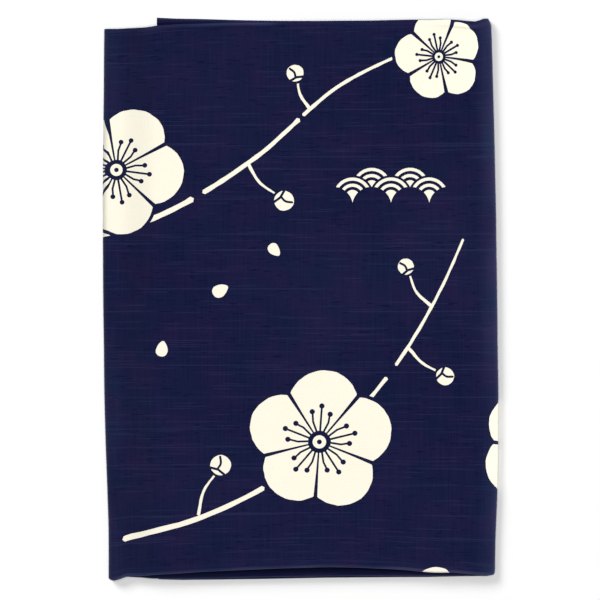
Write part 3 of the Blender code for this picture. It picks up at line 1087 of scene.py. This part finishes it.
def cotton(name, ink):
    """Slub cotton: thick pale stretches of single yarns, fine threads both ways and an uneven dye."""
    nodes = Nodes(name)
    place = nodes.add("ShaderNodeUVMap", {"uv_map": "cloth"}).outputs["UV"]
    x, y = nodes.split(place)

    weft = nodes.math("MULTIPLY", nodes.grain(place, WEFT), WEFT_IN_THREADS)
    warp = nodes.math("MULTIPLY", nodes.grain(place, WARP), WARP_IN_THREADS)
    threads = nodes.math("ADD", weft, warp)
    mottle = nodes.off_middle(nodes.grain(place, MOTTLE))
    broad = nodes.off_middle(nodes.grain(place, BROAD))
    slub = nodes.yarn(x, y, SLUB)
    warp_slub = nodes.yarn(y, x, WARP_SLUB)
    slubbed = nodes.streak(nodes.chance(y, SLUBBED_SHIFT), SLUBBED_YARNS)
    long_streak = nodes.math("MULTIPLY", slubbed, nodes.streak(nodes.yarn(x, y, LONG_SLUB), LONG_SLUBS))
    pale_streak = nodes.math("MAXIMUM", long_streak, nodes.streak(slub, SHORT_SLUBS))
    dark_streak = nodes.streak(nodes.yarn(x, y, SPECK), DARK_SPECKS)

    share = EVEN_SHARE
    for value, strength in (
        (nodes.off_middle(threads), SHARE_OF_THREADS * ink.thread),
        (nodes.off_middle(slub), SHARE_OF_SLUB * ink.thread),
        (nodes.off_middle(warp_slub), SHARE_OF_WARP_SLUB * ink.thread),
        (pale_streak, ink.streak),
        (dark_streak, SHARE_OF_SPECKS * ink.streak),
        (mottle, SHARE_OF_MOTTLE * ink.thread),
        (broad, SHARE_OF_BROAD * ink.thread),
    ):
        share = nodes.math("MULTIPLY_ADD", value, strength, share)
    share = nodes.add("ShaderNodeClamp", (), i0=share, i1=0.0, i2=1.0).outputs[0]
    colour = nodes.blend(share, ink.deep, ink.pale)
    # Painted highlight, partly wear: folds and open edges blended toward a paler colour
    colour = nodes.blend(nodes.worn(place), colour, ink.worn)
    drift = nodes.vector("MULTIPLY_ADD", mottle, ink.dye, (1.0, 1.0, 1.0))
    colour = nodes.vector("MULTIPLY", colour, drift)
    # Painted shade: the layers inside the pack blended toward a deeper navy
    shaded = nodes.blend(TUCKED_SHADE_STRENGTH, colour, TUCKED_SHADE_COLOUR)
    colour = nodes.blend(nodes.tucked_shade(place), colour, shaded)

    rough = nodes.math("MULTIPLY_ADD", threads, ROUGHNESS_SPREAD, ROUGHNESS)
    relief = nodes.math("SUBTRACT", pale_streak, dark_streak)
    raised = nodes.math("MULTIPLY_ADD", relief, ink.slub, threads)
    bump = nodes.add("ShaderNodeBump", (), strength=BUMP_STRENGTH, distance=BUMP_HEIGHT, height=raised)
    for socket, value in (
        ("Base Color", colour),
        ("Roughness", rough),
        ("Normal", bump.outputs[0]),
        ("Specular IOR Level", SPECULAR),
        ("Sheen Weight", SHEEN_WEIGHT),
        ("Sheen Roughness", SHEEN_ROUGHNESS),
        ("Sheen Tint", SHEEN_TINT),
    ):
        nodes.put(value, nodes.shader.inputs[socket])
    return nodes.material


# ---------------------------------------------------------------- floor, light and camera

FLOOR_SIZE = 4.0
FLOOR_COLOUR = (0.88, 0.88, 0.88, 1)
SKY_COLOUR = (1, 1, 1, 1)
SKY = 0.16
VIEW_CENTRE = (-0.25 * MM, -0.58 * MM)
VIEW_WIDTH = 267.86 * MM
VIEW_DISTANCE = 2.6
NEAREST_SEEN = 0.01
SENSOR = 36.0

# Large soft lamps: where each hangs, its side length in metres, its power in watts, and what it lights.
# The shadow falls to the lower right, while the cloth itself is lit from above and the right.
Lamp = namedtuple("Lamp", "name place size power lights")
LAMPS = (
    Lamp("shadow_fill", (0.0, 0.0, 3.2), 1.0, 64, "floor"),
    Lamp("shadow_key", (-3.4, 3.3, 4.0), 2.4, 240, "floor"),
    Lamp("cloth_sky", (0.0, 1.1, 2.9), 4.4, 129, "cloth"),
    Lamp("cloth_key", (4.0, 0.5, 3.4), 2.4, 136, "cloth"),
)


def white_floor():
    nodes = Nodes("white_floor")
    nodes.put(FLOOR_COLOUR, nodes.shader.inputs["Base Color"])
    nodes.put(1.0, nodes.shader.inputs["Roughness"])
    nodes.put(0.0, nodes.shader.inputs["Specular IOR Level"])
    return nodes.material


def make_floor():
    bpy.ops.mesh.primitive_plane_add(size=FLOOR_SIZE)
    floor = bpy.context.object
    floor.name = "floor"
    floor.data.materials.append(white_floor())
    return floor


def make_sky():
    world = bpy.data.worlds.new("studio")
    bpy.context.scene.world = world
    world.use_nodes = True
    background = world.node_tree.nodes["Background"]
    background.inputs["Color"].default_value = SKY_COLOUR
    background.inputs["Strength"].default_value = SKY


def make_lamps(floor, cloth):
    lit = {}
    for name, thing in (("floor", floor), ("cloth", cloth)):
        lit[name] = bpy.data.collections.new(f"{name}_light")
        lit[name].objects.link(thing)
    for lamp in LAMPS:
        light = bpy.data.lights.new(lamp.name, "AREA")
        light.size = lamp.size
        light.energy = lamp.power
        hung = bpy.data.objects.new(lamp.name, light)
        bpy.context.scene.collection.objects.link(hung)
        hung.location = lamp.place
        hung.rotation_euler = (-hung.location).to_track_quat("-Z", "Y").to_euler()
        hung.light_linking.receiver_collection = lit[lamp.lights]


def make_camera():
    camera = bpy.data.cameras.new("camera")
    camera.sensor_width = SENSOR
    camera.lens = SENSOR * VIEW_DISTANCE / VIEW_WIDTH
    camera.clip_start = NEAREST_SEEN
    eye = bpy.data.objects.new("camera", camera)
    bpy.context.scene.collection.objects.link(eye)
    eye.location = (*VIEW_CENTRE, VIEW_DISTANCE)
    bpy.context.scene.camera = eye


def main():
    cloth = make_cloth()
    for name, ink in (("navy_print", NAVY_INK), ("cream_print", CREAM_INK), ("reverse", REVERSE_INK)):
        cloth.data.materials.append(cotton(name, ink))
    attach(cloth, "root")
    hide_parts("furoshiki")
    floor = make_floor()
    make_sky()
    make_lamps(floor, cloth)
    make_camera()
    bpy.context.scene.view_settings.view_transform = "Standard"


main()
